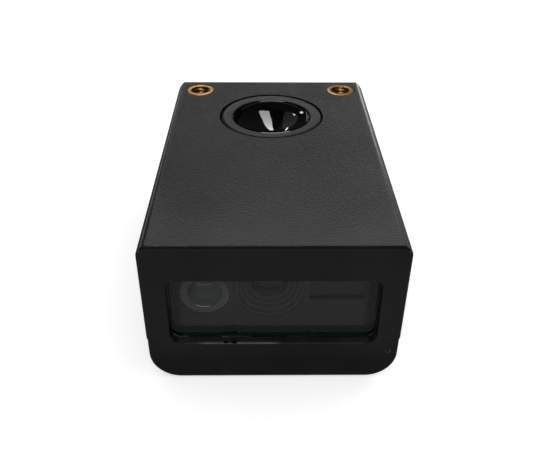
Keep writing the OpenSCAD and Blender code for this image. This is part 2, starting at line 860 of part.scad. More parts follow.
// Main board on the lower shell's stand-offs
module main_board() {
    tab_x = socket_tab_t + loose;
    tab_y = socket_tab_l + loose;
    color("#14502f") difference() {
        along_z(board_z, board_top) difference() {
            round_area(-board_half, board_front_y, board_half, board_rear_y, board_corner_r);
            both_sides() for (y = [mid_column_y, rear_column_y]) {
                translate([column_x, y]) circle(board_notch_r);
                area(column_x, y - board_notch_r, board_half + eps, y + board_notch_r);
            }
        }
        at_board_screws() post(0, 0, board_z - eps, board_top + eps, small_screw_r + loose);
        at_engine_screws() post(0, 0, board_z - eps, board_top + eps, small_screw_r + loose);
        at_socket_tabs() block([-loose, -loose, board_z - eps], [tab_x, tab_y, board_top + eps]);
    }
}
module board_screws() {
    color("#8d8f92") at_board_screws() translate([0, 0, board_top]) mirror([0, 0, 1])
        screw(small_screw_r, small_screw_l, small_head_r, small_head_h);
}
module chip(x, y, w, l, h) {
    half = w / 2;
    side_h = h - chip_bevel;
    translate([x, y, board_top]) along_y(-l / 2, l / 2) polygon([[-half, 0], [half, 0], [half, side_h],
        [half - chip_bevel, h], [chip_bevel - half, h], [-half, side_h]]);
}
module decoder_chip() {
    color("#1f1f21") chip(decoder_x, decoder_y, decoder_w, decoder_l, decoder_h);
}
module memory_chip() {
    color("#1f1f21") chip(memory_x, memory_y, memory_w, memory_l, memory_h);
}
module buzzer() {
    half = buzzer_w / 2;
    color("#0f0f10") translate([buzzer_x, buzzer_y, 0]) difference() {
        along_z(board_top, buzzer_top) round_area(-half, -half, half, half, buzzer_corner_r);
        post(0, 0, buzzer_top - buzzer_hole_d, buzzer_top + eps, buzzer_hole_r);
    }
}
module chip_capacitors() {
    color("#a58a68") for (i = [0 : capacitors_n - 1])
        translate([decoder_left + i * capacitor_pitch, capacitors_y, board_top])
            cube([capacitor_w, capacitor_l, capacitor_h]);
}

// Interface socket, flush in the rear wall
module at_socket_tabs() {
    for (x = [-socket_w / 2, socket_w / 2 - socket_tab_t], y = [0, socket_tab_pitch])
        translate([x, socket_y + socket_tab_y + y, 0]) children();
}
module socket_shell() {
    color("#c4c6c8") {
        difference() {
            socket_form(socket_y, socket_rear_y, 0);
            socket_form(socket_y - eps, socket_rear_y + eps, -socket_wall);
        }
        at_socket_tabs() block([0, 0, board_z + socket_tab_end], [socket_tab_t, socket_tab_l, socket_z]);
    }
}
module socket_body() {
    x = blade_w / 2;
    half = blade_t / 2;
    color("#17171a") {
        socket_form(socket_y, socket_y + socket_block_l, -socket_wall - slip);
        block([-x, socket_y + blade_root, socket_z - half], [x, socket_rear_y - blade_end, socket_z + half]);
    }
}
module socket_contacts() {
    first = -(contacts_n - 1) / 2 * contact_pitch - contact_w / 2;
    start = socket_y + socket_block_l + contact_start;
    color("#c8a452") for (side = [0, 1]) translate([0, start, socket_z]) mirror([0, 0, side])
        for (i = [0 : contacts_n - 1])
            translate([first + i * contact_pitch, 0, blade_t / 2]) cube([contact_w, contact_l, contact_t]);
}

// Scan engine: a moulded chassis with a camera, a round light and a rectangular light window
module aimer_area(inset) {
    w = aimer_w / 2 - inset;
    h = aimer_h / 2 - inset;
    translate([aimer_x, window_z]) area(-w, -h, w, h);
}
module engine_chassis() {
    top = engine_z + engine_h;
    half = engine_w / 2;
    slot_x = led_slot_x + slip;
    slot_back_y = led_board_y + led_board_t + slip;
    core_side = led_slot_x - core_wall;
    screw_end_y = engine_board_y - small_screw_l - tip_room;
    color("#2b2b2d") difference() {
        along_z(engine_z, top) round_area(-half, engine_y, half, engine_back_y, engine_edge_r);
        turned_y(camera_x, window_z) area(0, engine_y - eps, camera_r + slip, engine_back_y + eps);
        turned_y(light_x, light_z) area(0, engine_y - eps, light_r + slip, led_board_y + slip);
        along_y(engine_y - eps, engine_y + lens_inset + aimer_t) aimer_area(-slip);
        along_y(engine_y, led_board_y + slip) aimer_area(aimer_seat);
        block([-slot_x, led_board_y, led_board_z - slip], [slot_x, slot_back_y, top + eps]);
        both_sides() block([core_x, core_y, engine_z + core_floor], [core_side, engine_screw_y, top + eps]);
        at_engine_screws()
            post(0, 0, engine_z - eps, board_z + small_screw_l + tip_room, small_screw_r + slip);
        both_sides() turned_y(engine_board_screw_x, window_z)
            area(0, screw_end_y, small_screw_r + slip, engine_back_y + eps);
    }
}
module engine_screws() {
    color("#8d8f92") at_engine_screws() translate([0, 0, board_z])
        screw(small_screw_r, small_screw_l, small_head_r, small_head_h);
}
module camera_barrel() {
    lens_back_y = lens_y + lens_t;
    color("#1b1b1d") turned_y(camera_x, window_z) difference() {
        area(0, engine_y, camera_r, barrel_back_y);
        for (i = [1 : rings_n])
            area(0, engine_y - eps, camera_r - i * ring_step_r, engine_y + i * ring_step_y);
        area(0, lens_y - eps, lens_r, lens_back_y);
        area(0, lens_y, lens_r - lens_seat, barrel_back_y + eps);
        area(0, lens_back_y + lens_stop_t, lens_r + barrel_relief, barrel_back_y + eps);
    }
}
module camera_lens() {
    front = lens_y + lens_inset;
    color("#25222e") turned_y(camera_x, window_z) intersection() {
        area(0, front, lens_r - slip, lens_y + lens_t);
        translate([0, front + lens_ball_r]) circle(lens_ball_r, $fn = 180);
    }
}
module image_sensor() {
    half = sensor_w / 2;
    inner = half - sensor_frame;
    face_y = engine_back_y - sensor_t;
    color("#3c3a44") translate([camera_x, 0, window_z]) difference() {
        block([-half, face_y, -half], [half, engine_back_y, half]);
        block([-inner, face_y - eps, -inner], [inner, face_y + sensor_recess, inner]);
    }
}
module engine_board() {
    half = engine_w / 2;
    top = engine_z + engine_h - 2 * engine_board_lift;
    color("#14502f") difference() {
        along_y(engine_back_y, engine_board_y)
            round_area(-half, engine_z + engine_board_lift, half, top, engine_edge_r);
        both_sides() turned_y(engine_board_screw_x, window_z)
            area(0, engine_back_y - eps, small_screw_r + loose, engine_board_y + eps);
    }
}
module engine_board_screws() {
    color("#8d8f92") both_sides()
        translate([engine_board_screw_x, engine_board_y, window_z]) rotate([90, 0, 0])
            screw(small_screw_r, small_screw_l, small_head_r, small_head_h);
}
module led_board() {
    back_y = led_board_y + led_board_t;
    top = engine_z + engine_h - led_board_drop;
    color("#1b1c1e") difference() {
        block([-led_slot_x, led_board_y + slip, led_board_z], [led_slot_x, back_y, top]);
        turned_y(camera_x, window_z) area(0, led_board_y - eps, camera_r + loose, back_y + eps);
    }
}
module led_lens() {
    face_y = engine_y + lens_inset;
    dome_y = face_y - light_dome_rise;
    ball_r = (pow(light_dome_r, 2) + pow(light_dome_rise, 2)) / (2 * light_dome_rise);
    color("#c9ccd0", 0.6) turned_y(light_x, light_z) {
        area(0, face_y, light_r, face_y + light_flange_t);
        area(light_r - light_skirt_t, face_y, light_r, led_board_y + slip);
        intersection() {
            area(0, dome_y, light_dome_r, face_y + light_flange_t / 2);
            translate([0, dome_y + ball_r]) circle(ball_r, $fn = 180);
        }
    }
}
module light_chip(x, z, w, h, t) {
    back_y = led_board_y + slip;
    color("#d9d3a0") block([x - w / 2, back_y - t, z - h / 2], [x + w / 2, back_y, z + h / 2]);
}
module led_chip() {
    light_chip(light_x, light_z, light_chip_w, light_chip_w, light_chip_t);
}
module aimer_lens() {
    color("#7d8085", 0.6) along_y(engine_y + lens_inset, engine_y + lens_inset + aimer_t) aimer_area(0);
}
module aimer_led() {
    light_chip(aimer_x, window_z, aimer_chip_w, aimer_chip_h, aimer_chip_t);
}

// Flat flex cable from the engine's board down to the main board
module flex_section(t) {
    bend_y = flex_y + flex_bend_r;
    bend_z = flex_z + flex_bend_r;
    area(flex_y - t / 2, bend_z, flex_y + t / 2, flex_plug_z + flex_grip);
    area(bend_y, flex_z - t / 2, flex_socket_y + flex_grip, flex_z + t / 2);
    translate([bend_y, bend_z]) intersection() {
        difference() {
            circle(flex_bend_r + t / 2);
            circle(flex_bend_r - t / 2);
        }
        area(-2 * flex_bend_r, -2 * flex_bend_r, 0, 0);
    }
}
module engine_flex() {
    color("#b98d3e") along_x(-flex_w / 2, flex_w / 2) flex_section(flex_t);
}
module flex_connector(y0, y1, z0, z1) {
    color("#e2ddd0") difference() {
        block([-flex_plug_w / 2, y0, z0], [flex_plug_w / 2, y1, z1]);
        along_x(-flex_w / 2 - loose, flex_w / 2 + loose) flex_section(flex_t + 2 * slip);
    }
}
module flex_connector_upper() {
    flex_connector(engine_board_y, engine_board_y + flex_plug_t, flex_plug_z, flex_plug_z + flex_plug_h);
}
module flex_connector_lower() {
    flex_connector(flex_socket_y, parts_y, board_top, board_top + flex_socket_h);
}

top_housing();
bottom_cover();
scan_window();
window_gasket();
threaded_inserts();
cover_screws();
button_ring();
button_dish();
switch_plunger();
switch_base();
switch_cover();
switch_legs();
switch_board();
switch_board_screws();
link_socket();
link_header();
link_pins();
main_board();
board_screws();
decoder_chip();
memory_chip();
chip_capacitors();
buzzer();
socket_shell();
socket_body();
socket_contacts();
engine_chassis();
engine_screws();
camera_barrel();
camera_lens();
image_sensor();
engine_board();
engine_board_screws();
led_board();
led_lens();
led_chip();
aimer_lens();
aimer_led();
flex_connector_upper();
flex_connector_lower();
engine_flex();
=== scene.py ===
import math

import bmesh
import bpy
from mathutils import Matrix, Vector


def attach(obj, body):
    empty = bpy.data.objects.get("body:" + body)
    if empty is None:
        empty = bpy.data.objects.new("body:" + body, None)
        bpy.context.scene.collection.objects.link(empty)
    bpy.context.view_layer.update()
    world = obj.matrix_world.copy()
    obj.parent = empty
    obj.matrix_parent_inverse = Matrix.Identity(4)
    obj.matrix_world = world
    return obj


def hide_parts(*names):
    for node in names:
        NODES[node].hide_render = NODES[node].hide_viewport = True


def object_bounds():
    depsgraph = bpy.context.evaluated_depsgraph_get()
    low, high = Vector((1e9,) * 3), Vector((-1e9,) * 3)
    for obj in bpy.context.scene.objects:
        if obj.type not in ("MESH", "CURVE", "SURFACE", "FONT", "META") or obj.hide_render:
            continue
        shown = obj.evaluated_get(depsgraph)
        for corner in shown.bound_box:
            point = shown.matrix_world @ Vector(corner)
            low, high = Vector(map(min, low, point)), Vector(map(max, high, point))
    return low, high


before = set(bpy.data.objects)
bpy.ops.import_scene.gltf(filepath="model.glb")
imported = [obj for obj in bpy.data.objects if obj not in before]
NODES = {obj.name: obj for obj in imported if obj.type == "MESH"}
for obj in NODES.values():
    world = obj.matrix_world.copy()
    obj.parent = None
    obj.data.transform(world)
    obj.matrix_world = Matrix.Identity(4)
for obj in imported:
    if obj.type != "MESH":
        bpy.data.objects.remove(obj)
bpy.context.scene.view_settings.view_transform = "Standard"
cad_box = [list(p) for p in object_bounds()]
MM = 0.001

# Sizes and places in millimetres. TOP and FRONT come from the frame, and the others that the solids have
# too are part.scad's.
TOP = round(cad_box[1][2] / MM, 2)
FRONT = round(cad_box[0][1] / MM, 2)

# Trigger button
BUTTON_Y = 10.6
RING_R, RING_FLOOR = 7.9, 17.0
RING_EDGE_R, RING_LIP_R, RING_DIP = 0.45, 0.15, 0.1
FLANGE_R, FLANGE_LOW, FLANGE_HIGH = 8.9, 18.25, 19.15
STEM_R, STEM_LOW = 1.6, 16.4
KEY_W, KEY_L, KEY_OUT = 2.0, 1.7, 8.75
DISH_R, DISH_FLOOR, DISH_RIM, DISH_DEPTH = 6.1, 17.8, 20.8, 2.2
DISH_BALL_R, DISH_TURN_R, DISH_WALL, DISH_EASE = 13.2, 1.5, 0.15, 0.04
DISH_GAP = 0.05

# Brass inserts
INSERT_X, INSERT_Y = 12.0, 20.8
INSERT_R, INSERT_HOLE_R, INSERT_L = 2.35, 1.25, 5.0
INSERT_GROOVE_R, INSERT_BAND_R = INSERT_R - 0.35, INSERT_R - 0.05
INSERT_TIP_R, INSERT_TIP = INSERT_GROOVE_R - 0.15, 0.12
INSERT_MOUTH_R = INSERT_HOLE_R + 0.3
KNURL_TEETH, KNURL_DEPTH, KNURL_STEEP, KNURL_ROWS = 24, 0.2, 0.02, 9
# Each band: where it starts above the insert's foot, the step between rows, their lean, where it ends
KNURL_BANDS = ((0.42, 0.205, 0.06, 2.08), (2.8, 0.2, -0.06, 4.52))
THREAD_PITCH, THREAD_DEPTH, THREAD_FLANK, THREAD_CREST = 0.5, 0.24, 1.25, 0.12
THREAD_START, THREAD_CONE, THREAD_ROWS = 0.1, 0.26, 96

# Window and scan engine
WINDOW_Z, WINDOW_W, WINDOW_H, WINDOW_R = 11.1, 25.9, 9.9, 1.2
PANE_FRONT, PANE_BACK, PANE_REACH, PANE_DROP, PANE_R = -23.5, -22.4, 1.1, 0.6, 0.6
PANE_STEP, PANE_FIT, PANE_EDGE = 0.5, 0.04, 0.06
HOLLOW_SIDE, HOLLOW_END, HOLLOW_DROP = 0.4, 0.8, 0.1
SILL_Z = WINDOW_Z - WINDOW_H / 2
ENGINE_Y = -20.0
CAMERA_X, CAMERA_R, CAMERA_BACK = -0.5, 4.55, -8.6
SHADE_STEPS, SHADE_STEP_R, SHADE_STEP_Y = 4, 0.52, 0.5
LENS_SEAT, LENS_FRONT, LENS_BALL_R, LENS_GAP = 2.0, 0.2, 5.0, 0.05
LIGHT_X, LIGHT_Z, LIGHT_R, LIGHT_SEAT, LIGHT_BACK, LIGHT_WALL = -8.85, 10.2, 3.2, -19.8, -15.95, 0.5
DOME_R, DOME_RISE, DOME_L, DOME_GAP = 2.15, 0.5, 0.8, 0.05
CHIP_W, CHIP_R, CHIP_FRONT, CHIP_EDGE = 3.1, 0.7, -16.95, 0.08

# Dirt, a scratch and a highlight painted along the lip's lower edge. Each crumb is (x, radius, height as a
# share of its width).
CRUMBS = ((-6.02, 0.2, 0.9), (-5.55, 0.12, 0.7), (-4.98, 0.26, 0.8))
CRUMB_IN, CRUMB_UP, CRUMB_WIDER, CRUMB_LUMPS = 0.14, 0.05, 1.3, 0.22
LIP_GLINT_X, LIP_GLINT_REACH, LIP_GLINT_DROP, LIP_GLINT_DEPTH = -4.4, 4.9, 0.03, 0.05
FAINT_REACH, FAINT_SHARE = 11.4, 0.15
SCRATCH_X, SCRATCH_Z, SCRATCH_R, SCRATCH_SQUASH, SCRATCH_SHARE = 14.55, 4.72, 0.32, 1.2, 0.5

# Camera: a pinhole fitted to the photographed outline of the housing, with its angles in radians
PHOTO_WIDTH_PX, FOCAL_PX = 541.0, 654.34
SENSOR_W = 36.0
CAMERA_PITCH, CAMERA_YAW, CAMERA_ROLL = 0.6035, 0.0146, 0.0075
CAMERA_PLACE = (-1.3816, -84.8551, 64.6312)
CAMERA_NEAR_M, CAMERA_FAR_M = 0.002, 20.0


def make_camera():
    """The photograph's own view."""
    pitch, yaw, roll = CAMERA_PITCH, CAMERA_YAW, CAMERA_ROLL
    forward = Vector((math.sin(yaw) * math.cos(pitch), math.cos(yaw) * math.cos(pitch), -math.sin(pitch)))
    level = Vector((math.cos(yaw), -math.sin(yaw), 0.0))
    upright = level.cross(forward)
    right = level * math.cos(roll) + upright * math.sin(roll)
    up = upright * math.cos(roll) - level * math.sin(roll)
    data = bpy.data.cameras.new("camera")
    data.sensor_width = SENSOR_W
    data.lens = FOCAL_PX / PHOTO_WIDTH_PX * SENSOR_W
    data.clip_start, data.clip_end = CAMERA_NEAR_M, CAMERA_FAR_M
    camera = bpy.data.objects.new("camera", data)
    turn = Matrix((right, up, -forward)).transposed().to_4x4()
    camera.matrix_world = Matrix.Translation(Vector(CAMERA_PLACE) * MM) @ turn
    bpy.context.scene.collection.objects.link(camera)
    bpy.context.scene.camera = camera


# Node helpers
def srgb(r, g, b):
    """A colour written as 0-255 in the photograph's space, as linear RGBA."""
    def lin(v):
        v /= 255.0
        return v / 12.92 if v <= 0.04045 else ((v + 0.055) / 1.055) ** 2.4
    return (lin(r), lin(g), lin(b), 1.0)


class Shader:
    """A material with one Principled BSDF, and short ways to add procedural nodes to it."""

    def __init__(self, name, **values):
        self.mat = bpy.data.materials.new(name)
        self.mat.use_nodes = True
        self.tree = self.mat.node_tree
        self.bsdf = next(n for n in self.tree.nodes if n.type == "BSDF_PRINCIPLED")
        self.out = next(n for n in self.tree.nodes if n.type == "OUTPUT_MATERIAL")
        for key, value in values.items():
            self.bsdf.inputs[key.replace("_", " ")].default_value = value
        self.place = None

    def feed(self, value, socket):
        """Links another node's output to the socket, or writes a plain value into it."""
        if isinstance(value, bpy.types.NodeSocket):
            self.tree.links.new(value, socket)
        else:
            socket.default_value = value

    def node(self, kind, **inputs):
        n = self.tree.nodes.new("ShaderNode" + kind)
        for key, value in inputs.items():
            self.feed(value, n.inputs[key.replace("_", " ")])
        return n

    def coords(self):
        """The place on the object in millimetres."""
        if self.place is None:
            where = self.node("TexCoord")
            scale = self.node("Mapping", Vector=where.outputs["Object"], Scale=(1 / MM, 1 / MM, 1 / MM))
            self.place = scale.outputs["Vector"]
        return self.place

    def axes(self, vector):
        """The X, Y and Z of a vector."""
        parts = self.node("SeparateXYZ", Vector=vector)
        return [parts.outputs[axis] for axis in "XYZ"]

    def noise(self, scale, detail=2.0, roughness=0.5, distortion=0.0):
        n = self.node("TexNoise", Vector=self.coords(), Scale=scale, Detail=detail, Roughness=roughness,
                      Distortion=distortion)
        return n.outputs["Fac"]

    def math(self, op, a, b=0.0):
        n = self.tree.nodes.new("ShaderNodeMath")
        n.operation = op
        self.feed(a, n.inputs[0])
        self.feed(b, n.inputs[1])
        return n.outputs[0]

    def remap(self, value, low, high, to_low, to_high):
        n = self.node("MapRange", Value=value, From_Min=low, From_Max=high, To_Min=to_low, To_Max=to_high)
        return n.outputs["Result"]

    def spread(self, noise, low, high):
        """Stretches the usual reach of a noise from low to high."""
        return self.remap(noise, 0.3, 0.7, low, high)

    def near(self, value, middle, reach, soft):
        """1 within reach of the middle and 0 outside it, with a soft border."""
        away = self.math("ABSOLUTE", self.math("SUBTRACT", value, middle))
        return self.remap(away, reach - soft, reach + soft, 1.0, 0.0)

    def mix(self, factor, a, b):
        n = self.tree.nodes.new("ShaderNodeMix")
        n.data_type = "RGBA"
        for name, value in (("Factor", factor), ("A", a), ("B", b)):
            self.feed(value, next(s for s in n.inputs if s.name == name and s.enabled))
        return next(s for s in n.outputs if s.enabled)

    def bump(self, height, distance, normal=None):
        """distance is the height in millimetres that a value of 1 stands for."""
        n = self.node("Bump", Height=height, Distance=distance * MM, Strength=1.0)
        if normal is not None:
            self.feed(normal, n.inputs["Normal"])
        self.feed(n.outputs["Normal"], self.bsdf.inputs["Normal"])
        return n.outputs["Normal"]

    def colour(self, value):
        self.feed(value, self.bsdf.inputs["Base Color"])

    def roughness(self, value):
        self.feed(value, self.bsdf.inputs["Roughness"])


# Materials
SHELL_DARK, SHELL_LIGHT = (4, 4, 5), (26, 26, 28)
# Painted light: the lightest grain tone on faces that look up
PAINTED_TOP_LIGHT = (49, 49, 51)
# Light colour of the painted highlight on the lip's edge, and of the scratch
GLINT_AND_SCRATCH = (76, 75, 77)
# Painted reflection: the board's green gleam on the gasket's lower bar
PAINTED_BOARD_GLEAM = (24, 50, 47)
FLAT_FROM, FLAT_TO = 0.93, 0.995
EDGE_POLISH = 0.55
GRAIN_FRONT_Y, GRAIN_REAR_Y, GRAIN_AT_FRONT = -22.0, 8.0, 0.18
FINER = 2.3
CLOUD_SCALE, CLOUD_SHARE = 0.12, 0.3
TONE_REACH = 0.16
GLEAM_FROM_Z, GLEAM_TO_Z = 5.2, 5.5


def moulded(name, dark, light, rough=(0.3, 0.44), specular=0.38, grain=4.6, depth=0.9, fine=0.06,
            front=0.03):
    """Injection-moulded plastic with a spark-eroded grain of a fifth of a millimetre, which fades towards
    the front. The rounded edges are polished, and front is the share of the grain that is left there and on
    the faces that look forward or back. depth and fine are the heights of the grain and of its finer part."""
    s = Shader(name, Specular_IOR_Level=specular)
    coarse = s.noise(grain, detail=2.0, roughness=0.6)
    small = s.noise(grain * FINER, detail=1.0, roughness=0.5)
    cloud = s.noise(CLOUD_SCALE, detail=3.0, roughness=0.55)
    normal = s.axes(s.node("TexCoord").outputs["Normal"])
    upwards = s.math("ABSOLUTE", normal[2])
    flat = s.math("MAXIMUM", upwards, s.math("ABSOLUTE", normal[0]))
    along = s.axes(s.coords())[1]
    fading = s.remap(along, GRAIN_FRONT_Y, GRAIN_REAR_Y, GRAIN_AT_FRONT, 1.0)
    share = s.math("MULTIPLY", s.remap(flat, FLAT_FROM, FLAT_TO, front, 1.0), fading)
    grains = s.math("MULTIPLY", s.math("SUBTRACT", coarse, 0.5), share)
    tone = s.math("ADD", grains, s.math("MULTIPLY", s.math("SUBTRACT", cloud, 0.5), CLOUD_SHARE))
    # Faces that look up get a lighter grain tone, painted light on the top.
    lightest_with_painted_top = s.mix(s.remap(upwards, FLAT_FROM, FLAT_TO, 0.0, 1.0), srgb(*light), srgb(*PAINTED_TOP_LIGHT))
    s.tone = s.mix(s.remap(tone, -TONE_REACH, TONE_REACH, 1.0, 0.0), srgb(*dark), lightest_with_painted_top)
    s.colour(s.tone)
    polish = s.remap(flat, FLAT_FROM, FLAT_TO, EDGE_POLISH, 1.0)
    s.roughness(s.math("MULTIPLY", s.spread(small, *rough), polish))
    s.bump(s.math("MULTIPLY", small, share), fine, normal=s.bump(grains, depth))
    return s


def cover_material():
    """The lower shell: the same plastic, with a highlight painted along the lip's edge and a small scratch in
    the front.
    """
    s = moulded("cover_plastic", SHELL_DARK, SHELL_LIGHT)
    x, y, z = s.axes(s.coords())
    # A painted highlight along the lip's lower edge: full over its left part, faint across the rest, and
    # patchy.
    on_edge = s.near(z, SILL_Z - LIP_GLINT_DROP, reach=0.13, soft=0.05)
    at_front = s.near(y, FRONT + LIP_GLINT_DEPTH, reach=0.14, soft=0.05)
    faint = s.math("MULTIPLY", s.near(x, 0.0, FAINT_REACH, soft=0.4), FAINT_SHARE)
    along = s.math("MAXIMUM", s.near(x, LIP_GLINT_X, LIP_GLINT_REACH, soft=0.5), faint)
    patchy = s.remap(s.noise(1.4, detail=3.0, roughness=0.6), 0.3, 0.6, 0.55, 1.0)
    painted_glint = s.math("MULTIPLY", s.math("MULTIPLY", s.math("MULTIPLY", on_edge, at_front), along), patchy)
    dx = s.math("SUBTRACT", x, SCRATCH_X)
    dz = s.math("MULTIPLY", s.math("SUBTRACT", z, SCRATCH_Z), SCRATCH_SQUASH)
    distance = s.math("SQRT", s.math("ADD", s.math("MULTIPLY", dx, dx), s.math("MULTIPLY", dz, dz)))
    lower_right = s.remap(s.math("SUBTRACT", dz, dx), 0.1, 0.3, 1.0, 0.0)
    ring = s.math("MULTIPLY", s.near(distance, SCRATCH_R, reach=0.05, soft=0.05), lower_right)
    scratch = s.math("MULTIPLY", ring, s.near(y, FRONT, reach=0.2, soft=0.05))
    glint_and_scratch = s.math("MAXIMUM", painted_glint, s.math("MULTIPLY", scratch, SCRATCH_SHARE))
    # The painted highlight and the scratch take the light colour.
    s.colour(s.mix(glint_and_scratch, s.tone, srgb(*GLINT_AND_SCRATCH)))
    return s.mat


def gasket_material():
    """Black foam. Its lower bar is painted with the green gleam of the board, a painted reflection."""
    s = moulded("gasket_foam", (8, 8, 8), (18, 18, 18), rough=(0.8, 0.95), specular=0.2, grain=6.0,
                depth=0.004, fine=0.001, front=1.0)
    height = s.axes(s.coords())[2]
    # The lower bar takes the painted green gleam of the board.
    s.colour(s.mix(s.remap(height, GLEAM_FROM_Z, GLEAM_TO_Z, 1.0, 0.0), s.tone, srgb(*PAINTED_BOARD_GLEAM)))
    return s.mat


def smooth_plastic(name, dark, light, rough=(0.4, 0.55), specular=0.4, scale=4.0, depth=0.004):
    """Smooth small parts: faint flow marks, and a grain just fine enough to break the highlight."""
    s = Shader(name, Specular_IOR_Level=specular)
    flow = s.noise(scale, detail=3.0, roughness=0.6, distortion=0.4)
    fine = s.noise(scale * 5.0)
    s.colour(s.mix(s.remap(flow, 0.35, 0.65, 0.0, 1.0), srgb(*dark), srgb(*light)))
    s.roughness(s.spread(fine, *rough))
    s.bump(fine, depth)
    return s.mat


def metal(name, dark, light, rough=(0.22, 0.38)):
    """Bare or plated metal with slight stains and fine tool marks."""
    s = Shader(name, Metallic=1.0)
    stains = s.noise(3.0, detail=4.0, roughness=0.6)
    marks = s.noise(24.0)
    s.colour(s.mix(s.remap(stains, 0.35, 0.65, 0.0, 1.0), srgb(*dark), srgb(*light)))
    s.roughness(s.spread(marks, *rough))
    s.bump(marks, 0.004)
    return s.mat


def clear(name, low, high, shadow, rough, ior, haze_scale):
    """Glass or clear plastic. Shadow rays pass straight through, so what lies behind it is lit."""
    s = Shader(name, Roughness=rough, IOR=ior, Transmission_Weight=1.0)
    s.colour(s.mix(s.noise(haze_scale), (*low, 1.0), (*high, 1.0)))
    straight = s.node("BsdfTransparent", Color=(*shadow, 1.0))
    both = s.node("MixShader", Fac=s.node("LightPath").outputs["Is Shadow Ray"])
    s.feed(s.bsdf.outputs["BSDF"], both.inputs[1])
    s.feed(straight.outputs["BSDF"], both.inputs[2])
    s.feed(both.outputs[0], s.out.inputs["Surface"])
    return s.mat


def clear_plastic(name, tint, rough, ior=1.49):
    return clear(name, tint, tuple(min(1.0, c * 1.06) for c in tint), tint, rough, ior, 2.0)


def board_material(name, dark, light):
    """Solder mask over copper: broad lighter traces under a glossy coat."""
    s = Shader(name, Specular_IOR_Level=0.2)
    cells = s.node("TexBrick", Vector=s.coords(), Scale=0.55, Mortar_Size=0.09, Color1=(0, 0, 0, 1),
                   Color2=(0.25, 0.25, 0.25, 1), Mortar=(1, 1, 1, 1))
    s.colour(s.mix(cells.outputs["Color"], srgb(*dark), srgb(*light)))
    s.roughness(s.spread(s.noise(3.0, detail=3.0, roughness=0.6), 0.22, 0.36))
    s.bump(cells.outputs["Color"], 0.006)
    return s.mat


METALS = {
    "insert_brass": dict(dark=(136, 100, 54), light=(192, 148, 84), rough=(0.3, 0.46)),
    "screw_steel": dict(dark=(52, 52, 55), light=(84, 84, 88), rough=(0.28, 0.42)),
    "small_screw_steel": dict(dark=(140, 141, 144), light=(180, 181, 184)),
    "switch_steel": dict(dark=(170, 171, 174), light=(200, 201, 204)),
    "contact_gold": dict(dark=(196, 152, 62), light=(224, 184, 98), rough=(0.16, 0.28)),
    "socket_steel": dict(dark=(160, 162, 165), light=(196, 198, 200), rough=(0.2, 0.32)),
}
SMOOTH_PLASTICS = {
    "button_satin": dict(dark=(24, 24, 26), light=(34, 34, 36), rough=(0.4, 0.5), specular=0.2, scale=5.0),
    "button_gloss": dict(dark=(4, 4, 5), light=(7, 7, 8), rough=(0.02, 0.05), specular=0.5, scale=0.4,
                         depth=0.0),
    "switch_plastic": dict(dark=(22, 22, 24), light=(34, 34, 36)),
    "connector_black": dict(dark=(16, 16, 17), light=(28, 28, 30)),
    "connector_ivory": dict(dark=(196, 190, 170), light=(216, 210, 192)),
    "chip_epoxy": dict(dark=(24, 24, 26), light=(38, 38, 40), rough=(0.5, 0.65)),
    "capacitor_ceramic": dict(dark=(132, 104, 74), light=(160, 132, 100)),
    "buzzer_plastic": dict(dark=(14, 14, 15), light=(24, 24, 25)),
    "barrel_plastic": dict(dark=(42, 42, 44), light=(50, 50, 52), rough=(0.4, 0.46), specular=0.25, scale=1.0,
                           depth=0.0),
    "sensor_chip": dict(dark=(40, 38, 48), light=(60, 58, 72), rough=(0.2, 0.35)),
    "light_frost": dict(dark=(70, 70, 72), light=(79, 79, 81), rough=(0.5, 0.6), specular=0.2, scale=1.0,
                        depth=0.0005),
    "light_phosphor": dict(dark=(226, 225, 220), light=(236, 235, 230), rough=(0.5, 0.65), specular=0.3,
                           scale=1.0, depth=0.0005),
    "flex_film": dict(dark=(150, 104, 44), light=(180, 132, 66), rough=(0.3, 0.4)),
}


def materials():
    """Each material of the solids and of the pieces, by the name of its slot."""
    made = {name: metal(name, **look) for name, look in METALS.items()}
    made.update({name: smooth_plastic(name, **look) for name, look in SMOOTH_PLASTICS.items()})
    made["housing_plastic"] = moulded("housing_plastic", SHELL_DARK, SHELL_LIGHT).mat
    made["cover_plastic"] = cover_material()
    made["gasket_foam"] = gasket_material()
    made["engine_plastic"] = moulded("engine_plastic", (54, 54, 55), (64, 64, 65), rough=(0.5, 0.6),
                                     specular=0.2, grain=6.0, depth=0.003, fine=0.001, front=1.0).mat
    made["crumb_dirt"] = moulded("crumb_dirt", (3, 3, 3), (12, 11, 10), rough=(0.8, 0.9), specular=0.05,
                                 grain=6.0, depth=0.03, fine=0.01, front=1.0).mat
    made["board_green"] = board_material("board_green", (9, 36, 33), (11, 42, 39))
    made["board_black"] = board_material("board_black", (18, 18, 20), (26, 26, 28))
    made["window_pane"] = clear("window_pane", low=(0.89, 0.90, 0.90), high=(0.91, 0.92, 0.92),
                                shadow=(0.90, 0.91, 0.91), rough=0.0, ior=1.45, haze_scale=0.5)
    made["lens_glass"] = clear_plastic("lens_glass", (0.75, 0.78, 0.85), 0.0, 1.6)
    made["light_lens"] = clear_plastic("light_lens", (0.93, 0.94, 0.94), 0.08)
    made["aimer_window"] = clear_plastic("aimer_window", (0.22, 0.23, 0.25), 0.06)
    return made


make_camera()
MATS = materials()
for node in NODES.values():
    for i, held in enumerate(node.data.materials):
        node.data.materials[i] = MATS[held.name]


# Mesh helpers, in millimetres
def finished(bm, name, place=Matrix()):
    """Turns the faces outwards and gives the mesh in metres."""
    bmesh.ops.recalc_face_normals(bm, faces=bm.faces)
    bmesh.ops.transform(bm, matrix=Matrix.Scale(MM, 4) @ place, verts=bm.verts)
    mesh = bpy.data.meshes.new(name)
    bm.to_mesh(mesh)
    bm.free()
    return mesh


